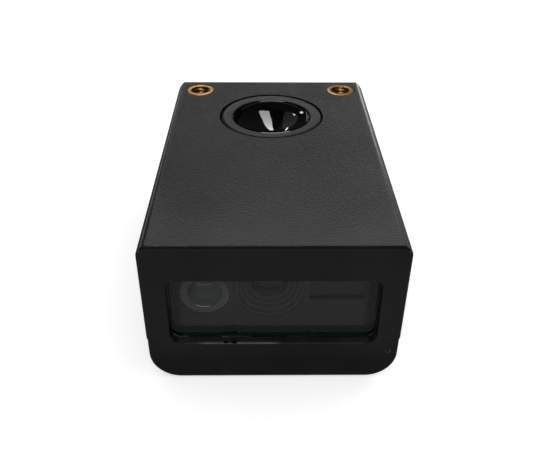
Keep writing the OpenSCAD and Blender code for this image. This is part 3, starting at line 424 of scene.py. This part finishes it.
def new_piece(mesh, body, slot, look=None, sharp_deg=35.0):
    """An object around the mesh. look names its material where it isn't the slot's own."""
    mesh.validate()
    mesh.shade_smooth()
    mesh.set_sharp_from_angle(angle=math.radians(sharp_deg))
    mesh.materials.append(MATS[look or slot])
    piece = bpy.data.objects.new(mesh.name, mesh)
    bpy.context.scene.collection.objects.link(piece)
    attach(piece, body)
    return piece


def bridge(bm, lower, upper):
    """Faces between two rings of vertices. A ring of one vertex is a tip."""
    n = max(len(lower), len(upper))
    for i in range(n):
        j = (i + 1) % n
        if len(lower) == 1:
            bm.faces.new((lower[0], upper[j], upper[i]))
        elif len(upper) == 1:
            bm.faces.new((lower[i], lower[j], upper[0]))
        else:
            bm.faces.new((lower[i], lower[j], upper[j], upper[i]))


def turned(outline, segments):
    """Turns a closed outline of (radius, height) about the Z axis."""
    bm = bmesh.new()
    rings = []
    for r, h in outline:
        if r < 1e-6:
            rings.append([bm.verts.new((0.0, 0.0, h))])
        else:
            rings.append([bm.verts.new((r * math.cos(a), r * math.sin(a), h))
                          for a in (2 * math.pi * i / segments for i in range(segments))])
    for lower, upper in zip(rings, rings[1:] + rings[:1]):
        if len(lower) + len(upper) > 2:
            bridge(bm, lower, upper)
    return bm


def lathe_up(name, outline, y, segments=256):
    """A turned mesh that stands at y on the middle line."""
    return finished(turned(outline, segments), name, Matrix.Translation((0.0, y, 0.0)))


def lathe_back(name, outline, x, z, segments):
    """A turned mesh that lies at (x, z). The outline's heights run along +Y."""
    place = Matrix.Translation((x, 0.0, z)) @ Matrix.Rotation(math.radians(-90), 4, "X")
    return finished(turned(outline, segments), name, place)


def arc(cx, cy, r, start, end, steps):
    """Points of an arc in degrees, both ends included."""
    return [(cx + r * math.cos(math.radians(start + (end - start) * i / steps)),
             cy + r * math.sin(math.radians(start + (end - start) * i / steps))) for i in range(steps + 1)]


def eased(points, radius, steps=3):
    """The same outline with each corner of (x, y, True) rounded off by a small curve."""
    made = []
    n = len(points)
    for k, p in enumerate(points):
        if len(p) < 3 or not p[2]:
            made.append((p[0], p[1]))
            continue
        here = Vector(p[:2])
        before = Vector(points[k - 1][:2]) - here
        after = Vector(points[(k + 1) % n][:2]) - here
        reach = min(radius, before.length * 0.45, after.length * 0.45)
        a = here + before.normalized() * reach
        b = here + after.normalized() * reach
        for i in range(steps + 1):
            t = i / steps
            q = a * (1 - t) ** 2 + here * 2 * t * (1 - t) + b * t ** 2
            made.append((q.x, q.y))
    return made


def domed(r, front, ball, back, steps=24):
    """The outline of a disc whose front is a cap of a ball."""
    outline = [(r, back)]
    for i in range(steps + 1):
        q = r * (1 - i / steps)
        outline.append((q, front + ball - math.sqrt(ball ** 2 - q ** 2)))
    return outline + [(0.0, back)]


def round_rect(x, z, w, h, r):
    """An upright outline with round corners, as (x, z) points."""
    outline = []
    for cx, cz, start in ((1, 1, 0), (-1, 1, 90), (-1, -1, 180), (1, -1, 270)):
        outline += arc(x + cx * (w / 2 - r), z + cz * (h / 2 - r), r, start, start + 90, 8)
    return outline


def skin(name, rows):
    """A closed mesh through a row of outlines, each given as (y, points)."""
    bm = bmesh.new()
    rings = [[bm.verts.new((px, y, pz)) for px, pz in points] for y, points in rows]
    for lower, upper in zip(rings, rings[1:]):
        bridge(bm, lower, upper)
    bm.faces.new(rings[0])
    bm.faces.new(rings[-1])
    return finished(bm, name)


# Trigger button
def trigger_ring():
    """The satin ring, whose top falls slightly inwards, with its guide flange, key and stem."""
    inner = DISH_R + DISH_GAP
    lip = Vector((inner + RING_LIP_R, TOP - RING_DIP - RING_LIP_R))
    edge = Vector((RING_R - RING_EDGE_R, TOP - RING_EDGE_R))
    span = edge - lip
    turn = math.degrees(math.atan2(span.y, span.x)) + 90
    turn -= math.degrees(math.asin((RING_LIP_R - RING_EDGE_R) / span.length))
    outline = eased([(0.0, STEM_LOW), (STEM_R, STEM_LOW), (STEM_R, RING_FLOOR), (RING_R, RING_FLOOR, True),
                     (RING_R, FLANGE_LOW), (FLANGE_R, FLANGE_LOW, True), (FLANGE_R, FLANGE_HIGH, True),
                     (RING_R, FLANGE_HIGH)], 0.1)
    outline += arc(edge.x, edge.y, RING_EDGE_R, 0.0, turn, 16)
    outline += arc(lip.x, lip.y, RING_LIP_R, turn, 180.0, 8)
    outline += [(inner, DISH_FLOOR), (0.0, DISH_FLOOR)]
    mesh = lathe_up("trigger_ring", outline, BUTTON_Y)
    bm = bmesh.new()
    bm.from_mesh(mesh)
    key = bmesh.ops.create_cube(bm, size=MM)["verts"]
    bmesh.ops.scale(bm, vec=(KEY_W, KEY_L, FLANGE_HIGH - FLANGE_LOW), verts=key)
    place = Vector((0.0, BUTTON_Y + KEY_OUT, (FLANGE_LOW + FLANGE_HIGH) / 2))
    bmesh.ops.translate(bm, vec=place * MM, verts=key)
    bm.to_mesh(mesh)
    bm.free()
    ring = new_piece(mesh, "button", "button_satin")
    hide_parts("button_ring")


def trigger_dish():
    """The glossy dish: a shallow ball with a tight turn up to its rim."""
    ball_z = DISH_RIM - DISH_DEPTH + DISH_BALL_R
    turn_x = DISH_R - DISH_WALL - DISH_TURN_R
    turn_z = ball_z - math.sqrt((DISH_BALL_R - DISH_TURN_R) ** 2 - turn_x ** 2)
    low = math.degrees(math.atan2(turn_z - ball_z, turn_x))
    top = math.degrees(math.asin((DISH_RIM - DISH_EASE - turn_z) / DISH_TURN_R))
    wall = arc(turn_x, turn_z, DISH_TURN_R, top, low, 40)
    outline = [(0.0, DISH_FLOOR), (DISH_R, DISH_FLOOR), (DISH_R, DISH_RIM - DISH_EASE),
               (DISH_R - DISH_EASE, DISH_RIM), (wall[0][0] + DISH_EASE, DISH_RIM)]
    outline += wall
    outline += arc(0.0, ball_z, DISH_BALL_R, low, -90.0, 40)[1:]
    dish = new_piece(lathe_up("trigger_dish", outline, BUTTON_Y), "button", "button_gloss")
    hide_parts("button_dish")


# Brass inserts
def knurl(angle, twist):
    """How far the knurl lies under its teeth."""
    wave = (angle * KNURL_TEETH / (2 * math.pi) + twist) % 1.0
    return -KNURL_DEPTH * abs(2 * wave - 1)


def thread(angle, z):
    """How far the thread is cut into the wall of the hole."""
    wave = (z / THREAD_PITCH - angle / (2 * math.pi)) % 1.0
    return THREAD_DEPTH * min(1.0, max(0.0, abs(2 * wave - 1) * THREAD_FLANK - THREAD_CREST))


def brass_insert(name, side, segments=144):
    """A heat-set insert: two knurled bands, a plain rim with an eased edge and a cut M3 thread."""
    bm = bmesh.new()
    rings = []

    def row(r, z, cut=None):
        ring = []
        for i in range(segments):
            a = 2 * math.pi * i / segments
            q = r + cut(a) if cut else r
            ring.append(bm.verts.new((q * math.cos(a), q * math.sin(a), z)))
        rings.append(ring)

    low = TOP - INSERT_L
    row(INSERT_TIP_R, low)
    row(INSERT_GROOVE_R, low + INSERT_TIP)
    for start, step, lean, end in KNURL_BANDS:
        row(INSERT_GROOVE_R, low + start - KNURL_STEEP)
        for k in range(KNURL_ROWS):
            row(INSERT_BAND_R, low + start + k * step, lambda a: knurl(a, k * lean))
        row(INSERT_GROOVE_R, low + end)
    rim = ((INSERT_GROOVE_R, 0.46), (INSERT_BAND_R, 0.44), (INSERT_R, 0.4), (INSERT_R, 0.06),
           (INSERT_R - 0.02, 0.02), (INSERT_R - 0.07, 0.0), (INSERT_MOUTH_R + 0.06, 0.0),
           (INSERT_MOUTH_R, 0.02))
    for r, under in rim:
        row(r, TOP - under)
    thread_top = TOP - THREAD_START
    for k in range(THREAD_ROWS + 1):
        z = thread_top - (INSERT_L - THREAD_START) * k / THREAD_ROWS
        cone = max(0.0, THREAD_CONE - (thread_top - z))
        row(INSERT_HOLE_R + cone, z, (lambda a: thread(a, z)) if cone < THREAD_DEPTH else None)
    for inner, outer in zip(rings, rings[1:] + rings[:1]):
        bridge(bm, inner, outer)
    mesh = finished(bm, name, Matrix.Translation((side * INSERT_X, INSERT_Y, 0.0)))
    return new_piece(mesh, "housing", "insert_brass", sharp_deg=40.0)


# Window
def moulded_window():
    """The pane with its middle standing a step into the opening, and its back hollowed by as much."""
    def opening(inset):
        return round_rect(0.0, WINDOW_Z, WINDOW_W - 2 * inset, WINDOW_H - 2 * inset, WINDOW_R)

    flange = round_rect(0.0, WINDOW_Z - PANE_DROP / 2, WINDOW_W + 2 * PANE_REACH,
                        WINDOW_H + 2 * PANE_REACH + PANE_DROP, PANE_R)
    hollow = round_rect(0.0, WINDOW_Z - HOLLOW_DROP, WINDOW_W + 2 * HOLLOW_SIDE,
                        WINDOW_H + 2 * HOLLOW_END, PANE_R)
    front = PANE_FRONT - PANE_STEP
    rows = [(PANE_BACK - PANE_STEP, hollow), (PANE_BACK, hollow), (PANE_BACK, flange), (PANE_FRONT, flange),
            (PANE_FRONT, opening(PANE_FIT)), (front + PANE_EDGE, opening(PANE_FIT)),
            (front, opening(PANE_FIT + PANE_EDGE))]
    window = new_piece(skin("moulded_window", rows), "housing", "window_pane")
    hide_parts("scan_window")


def lip_crumbs():
    """Crumbs of dirt on the lower edge of the opening."""
    bm = bmesh.new()
    for k, (x, size, tall) in enumerate(CRUMBS):
        place = Vector((x, FRONT + CRUMB_IN, SILL_Z + CRUMB_UP))
        for v in bmesh.ops.create_icosphere(bm, subdivisions=3, radius=size)["verts"]:
            wave = math.sin(v.co.x / size * 3.1 + k) * math.cos(v.co.y / size * 2.7 + 2 * k)
            lump = 1.0 + CRUMB_LUMPS * wave
            v.co = Vector((v.co.x * CRUMB_WIDER, v.co.y, v.co.z * tall)) * lump + place
    new_piece(finished(bm, "lip_crumbs"), "housing", "cover_plastic", "crumb_dirt")


# Scan engine
def camera_sunshade():
    """Stepped sunshade of the camera, each step with a slightly rounded edge that catches the light."""
    lens_r, lens_y = CAMERA_R - SHADE_STEPS * SHADE_STEP_R, ENGINE_Y + SHADE_STEPS * SHADE_STEP_Y
    outline = [(CAMERA_R, ENGINE_Y, True)]
    for i in range(SHADE_STEPS):
        r, y = CAMERA_R - (i + 1) * SHADE_STEP_R, ENGINE_Y + i * SHADE_STEP_Y
        outline += [(r, y, True), (r, y + SHADE_STEP_Y)]
    seat = lens_y + LENS_SEAT
    outline[-1] = (lens_r, seat)
    stop_r, bore_r = lens_r - 0.5, lens_r + 1.0
    outline += [(stop_r, seat), (stop_r, seat + 2.0), (bore_r, seat + 2.0), (bore_r, CAMERA_BACK),
                (CAMERA_R, CAMERA_BACK)]
    mesh = lathe_back("camera_sunshade", eased(outline, 0.11, 4), CAMERA_X, WINDOW_Z, 160)
    shade = new_piece(mesh, "housing", "barrel_plastic")
    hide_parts("camera_barrel")
    outline = domed(lens_r - LENS_GAP, lens_y + LENS_FRONT, LENS_BALL_R, seat)
    glass = new_piece(lathe_back("front_lens", outline, CAMERA_X, WINDOW_Z, 96), "housing", "lens_glass")
    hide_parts("camera_lens")


def round_light():
    """Frosted flange with a polished dome in its middle."""
    dome_back = LIGHT_SEAT + DOME_L
    wall_r, hole_r = LIGHT_R - LIGHT_WALL, DOME_R + DOME_GAP
    outline = eased([(LIGHT_R, LIGHT_SEAT, True), (LIGHT_R, LIGHT_BACK), (wall_r, LIGHT_BACK),
                     (wall_r, dome_back), (hole_r, dome_back), (hole_r, LIGHT_SEAT, True)], 0.12)
    mesh = lathe_back("round_light_flange", outline, LIGHT_X, LIGHT_Z, 128)
    flange = new_piece(mesh, "housing", "light_lens", "light_frost")
    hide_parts("led_lens")
    ball = (DOME_R ** 2 + DOME_RISE ** 2) / (2 * DOME_RISE)
    outline = domed(DOME_R, LIGHT_SEAT - DOME_RISE, ball, dome_back)
    new_piece(lathe_back("round_light_dome", outline, LIGHT_X, LIGHT_Z, 96), "housing", "light_lens")


def light_chip():
    """The chip behind the dome, a plate with rounded corners and eased front edges."""
    rows = []
    for inset, y in ((0.0, LIGHT_BACK), (0.0, CHIP_FRONT + CHIP_EDGE),
                     (CHIP_EDGE * 0.3, CHIP_FRONT + CHIP_EDGE * 0.3), (CHIP_EDGE, CHIP_FRONT)):
        width = CHIP_W - 2 * inset
        rows.append((y, round_rect(LIGHT_X, LIGHT_Z, width, width, CHIP_R - inset)))
    chip = new_piece(skin("round_light_chip", rows), "housing", "light_phosphor")
    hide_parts("led_chip")


trigger_ring()
trigger_dish()
left_insert = brass_insert("brass_insert_left", -1)
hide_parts("threaded_inserts")
brass_insert("brass_insert_right", 1)
moulded_window()
lip_crumbs()
camera_sunshade()
round_light()
light_chip()

# Stage and light, in metres. Radiance 1 is white.
WHITE = (1.0, 1.0, 1.0, 1.0)
MIDDLE = (0.0, 0.0, 0.01)
WORLD_LIGHT, BACKGROUND = 0.7, 1.0
FLOOR_HALF, FLOOR_DROP, FLOOR_GREY, FLOOR_LIFT = 3.0, 0.00002, 0.78, 0.44
TENT_R, TENT_DARK, TENT_STEP_DEG = 3.0, 0.035, 5
PAPER_Z, PAPER_END, PAPER_SIDE_X = 0.0004, 0.5, 0.0158
# The bands nearest the object's foot are darkest, a painted shadow of the object.
PAPER_BANDS_Y, PAPER_BANDS = (-0.0225, -0.0285, -0.031, -PAPER_END), (0.1, 0.15, 0.2)
PAPER_LEFT, PAPER_RIGHT = 0.05, 0.16
MIRRORS_ONLY = ("camera", "diffuse", "volume_scatter", "shadow")
NO_MIRRORS = ("glossy", "transmission")

# Each ceiling card is a height, a radiance and its rows. A row is (left x, right x, y), as shares of the
# height.
DISH_CARDS = {
    "dish_strip": (0.6, 5.6, [(0.044, 0.229, 0.44), (0.006, 0.161, 0.90), (-0.014, 0.065, 2.52)]),
    "spot_inner": (0.6, 14.0, [(-0.46, -0.39, 0.68), (-0.46, -0.39, 0.86)]),
    "spot_streak": (0.6, 10.0, [(-0.33, -0.30, 2.2), (-0.32, -0.29, 3.4)]),
    "spot_glow": (0.62, 0.22, [(-0.52, -0.19, 0.45), (-0.48, -0.19, 1.4), (-0.4, -0.19, 2.2)]),
}
SHELL_STRIP = (0.62, 7.6, [(-0.28, 0.09, 0.40), (-0.16, 0.045, 0.90), (-0.07, 0.02, 2.52)])


def towards(azimuth, elevation, distance, centre=MIDDLE):
    """A place seen from the centre at an azimuth from +Y to +X and an elevation, in degrees."""
    a, e = math.radians(azimuth), math.radians(elevation)
    direction = Vector((math.sin(a) * math.cos(e), math.cos(a) * math.cos(e), math.sin(e)))
    return Vector(centre) + distance * direction


def hide_from(obj, kinds):
    for kind in kinds:
        setattr(obj, "visible_" + kind, False)


def shine_on(light, objects):
    """The light reaches these objects only."""
    lit = bpy.data.collections.new(light.name + "_objects")
    for obj in objects:
        lit.objects.link(obj)
    light.light_linking.receiver_collection = lit


def lamp(name, place, width, height, radiance, objects=None, hidden=NO_MIRRORS):
    """A rectangular lamp aimed at the middle of the object. objects are the only ones that it lights."""
    data = bpy.data.lights.new(name, "AREA")
    data.shape = "RECTANGLE"
    data.size, data.size_y = width, height
    data.energy = radiance * math.pi * width * height
    obj = bpy.data.objects.new(name, data)
    obj.location = place
    obj.rotation_mode = "QUATERNION"
    obj.rotation_quaternion = (Vector(MIDDLE) - obj.location).to_track_quat("-Z", "Y")
    bpy.context.scene.collection.objects.link(obj)
    hide_from(obj, hidden)
    if objects:
        shine_on(obj, objects)


def empty_tree(owner):
    """The node tree of a material or world, cleared."""
    owner.use_nodes = True
    owner.node_tree.nodes.clear()
    return owner.node_tree


def background_rays(tree):
    """1 for the rays that see the background: camera, mirror and glass."""
    seen = tree.nodes.new("ShaderNodeLightPath").outputs
    total = seen["Is Camera Ray"]
    for kind in ("Is Glossy Ray", "Is Transmission Ray"):
        either = tree.nodes.new("ShaderNodeMath")
        either.operation = "MAXIMUM"
        tree.links.new(total, either.inputs[0])
        tree.links.new(seen[kind], either.inputs[1])
        total = either.outputs[0]
    return total


def make_world():
    world = bpy.data.worlds.new("studio")
    bpy.context.scene.world = world
    tree = empty_tree(world)
    out = tree.nodes.new("ShaderNodeOutputWorld")
    both = tree.nodes.new("ShaderNodeMixShader")
    tree.links.new(background_rays(tree), both.inputs[0])
    for i, strength in ((1, WORLD_LIGHT), (2, BACKGROUND)):
        light = tree.nodes.new("ShaderNodeBackground")
        light.inputs["Color"].default_value = WHITE
        light.inputs["Strength"].default_value = strength
        tree.links.new(light.outputs[0], both.inputs[i])
    tree.links.new(both.outputs[0], out.inputs["Surface"])


def glow(name, radiance):
    mat = bpy.data.materials.new(name)
    tree = empty_tree(mat)
    out = tree.nodes.new("ShaderNodeOutputMaterial")
    light = tree.nodes.new("ShaderNodeEmission")
    light.inputs["Color"].default_value = WHITE
    light.inputs["Strength"].default_value = radiance
    tree.links.new(light.outputs[0], out.inputs["Surface"])
    return mat


def floor_paper():
    """White paper, lifted a little where the background is seen, so that only the shadow shows on it."""
    mat = bpy.data.materials.new("floor_paper")
    tree = empty_tree(mat)
    out = tree.nodes.new("ShaderNodeOutputMaterial")
    paper = tree.nodes.new("ShaderNodeBsdfDiffuse")
    paper.inputs["Color"].default_value = (FLOOR_GREY, FLOOR_GREY, FLOOR_GREY, 1.0)
    lift = tree.nodes.new("ShaderNodeEmission")
    lift.inputs["Color"].default_value = WHITE
    share = tree.nodes.new("ShaderNodeMath")
    share.operation = "MULTIPLY"
    share.inputs[1].default_value = FLOOR_LIFT
    tree.links.new(background_rays(tree), share.inputs[0])
    tree.links.new(share.outputs[0], lift.inputs["Strength"])
    total = tree.nodes.new("ShaderNodeAddShader")
    tree.links.new(paper.outputs[0], total.inputs[0])
    tree.links.new(lift.outputs[0], total.inputs[1])
    tree.links.new(total.outputs[0], out.inputs["Surface"])
    return mat


def staged(name, verts, faces, mats, hidden=()):
    """A sheet of the stage. Where it has several materials, each face has its own."""
    mesh = bpy.data.meshes.new(name)
    mesh.from_pydata([tuple(v) for v in verts], [], faces)
    for k, mat in enumerate(mats):
        mesh.materials.append(mat)
        mesh.polygons[k].material_index = k
    sheet = bpy.data.objects.new(name, mesh)
    bpy.context.scene.collection.objects.link(sheet)
    hide_from(sheet, hidden)
    return sheet


def make_floor():
    corners = [(x * FLOOR_HALF, y * FLOOR_HALF, -FLOOR_DROP) for x, y in ((-1, -1), (1, -1), (1, 1), (-1, 1))]
    staged("floor", corners, [(0, 1, 2, 3)], [floor_paper()])


def black_tent():
    """Black cloth over the set, which only reflections see."""
    azimuths, heights = range(0, 360, TENT_STEP_DEG), range(TENT_STEP_DEG, 91, TENT_STEP_DEG)
    verts = [towards(a, e, TENT_R, (0.0, 0.0, 0.0)) for e in heights for a in azimuths]
    n = len(azimuths)
    faces = []
    for k in range(len(heights) - 1):
        for i in range(n):
            j = (i + 1) % n
            faces.append((k * n + i, k * n + j, (k + 1) * n + j, (k + 1) * n + i))
    staged("black_tent", verts, faces, [glow("black_cloth", TENT_DARK)], MIRRORS_ONLY)


def grey_paper():
    """Grey paper around the object, which only reflections see, darker at its foot, a painted shadow of the
    object, and darker on the left.
    Its bands lie in front, each from one y to the next, and a sheet lies on each side."""
    end, side = PAPER_END, PAPER_SIDE_X
    bands = zip(zip(PAPER_BANDS_Y, PAPER_BANDS_Y[1:]), PAPER_BANDS)
    sheets = [((-end, end), along, radiance) for along, radiance in bands]
    sheets += [((-end, -side), (end, PAPER_BANDS_Y[0]), PAPER_LEFT),
               ((side, end), (end, PAPER_BANDS_Y[0]), PAPER_RIGHT)]
    verts, faces, mats = [], [], []
    for k, (across, along, radiance) in enumerate(sheets):
        verts += [(x, y, PAPER_Z) for y in along for x in across]
        faces.append((4 * k, 4 * k + 2, 4 * k + 3, 4 * k + 1))
        mats.append(glow("grey_paper_%d" % k, radiance))
    staged("grey_paper", verts, faces, mats, MIRRORS_ONLY)


def ceiling_card(name, height, radiance, rows, hidden=MIRRORS_ONLY):
    """A flat glowing card under the ceiling."""
    verts = []
    for left, right, y in rows:
        verts += [(left * height, y * height, height), (right * height, y * height, height)]
    faces = [(k, k + 2, k + 3, k + 1) for k in range(0, len(verts) - 2, 2)]
    return staged(name, verts, faces, [glow(name, radiance)], hidden)


def standing_card(name, place, width, height, radiance):
    """A small glowing card that faces the object and shows only in reflections."""
    across = Vector((0, 0, 1)).cross(place).normalized() * width / 2
    up = place.cross(across).normalized() * height / 2
    corners = [place + q for q in (-across - up, across - up, across + up, up - across)]
    return staged(name, corners, [(0, 1, 2, 3)], [glow(name, radiance)], MIRRORS_ONLY)


def pieces(*names):
    return [NODES[name] if name in NODES else bpy.data.objects[name] for name in names]


make_world()
make_floor()
black_tent()
dish = pieces("trigger_dish")
shell = pieces("top_housing", "bottom_cover", "trigger_ring")
brass = pieces("brass_insert_left", "brass_insert_right")
engine = pieces("window_gasket", "round_light_chip", "round_light_flange", "camera_sunshade")
for name, values in DISH_CARDS.items():
    shine_on(ceiling_card(name, *values), dish)
shine_on(standing_card("spot_outer", towards(-66, 18, 1.5), width=0.24, height=0.5, radiance=12.0), dish)
shine_on(ceiling_card("shell_strip", *SHELL_STRIP, hidden=("camera", "shadow")), shell + brass)
shine_on(standing_card("side_glow", towards(55, 14, 1.6), width=1.3, height=0.9, radiance=0.5), shell)
lamp("right_softbox", towards(50, 20, 0.9), width=0.5, height=0.55, radiance=3.2)
lamp("edge_light", towards(22.5, 11, 1.6), width=0.3, height=0.3, radiance=4.2, objects=shell, hidden=())
lamp("insert_light", towards(180, 66, 0.9), width=0.3, height=0.16, radiance=14.0, objects=brass, hidden=())
grey_paper()
lamp("front_softbox", towards(180, 35, 0.9), width=0.6, height=0.4, radiance=2.8)
lamp("engine_light", towards(180, 35, 0.9), width=0.6, height=0.4, radiance=3.4, objects=engine)
lamp("top_fill", (0.0, 0.0, 0.9), width=0.9, height=0.9, radiance=0.35)
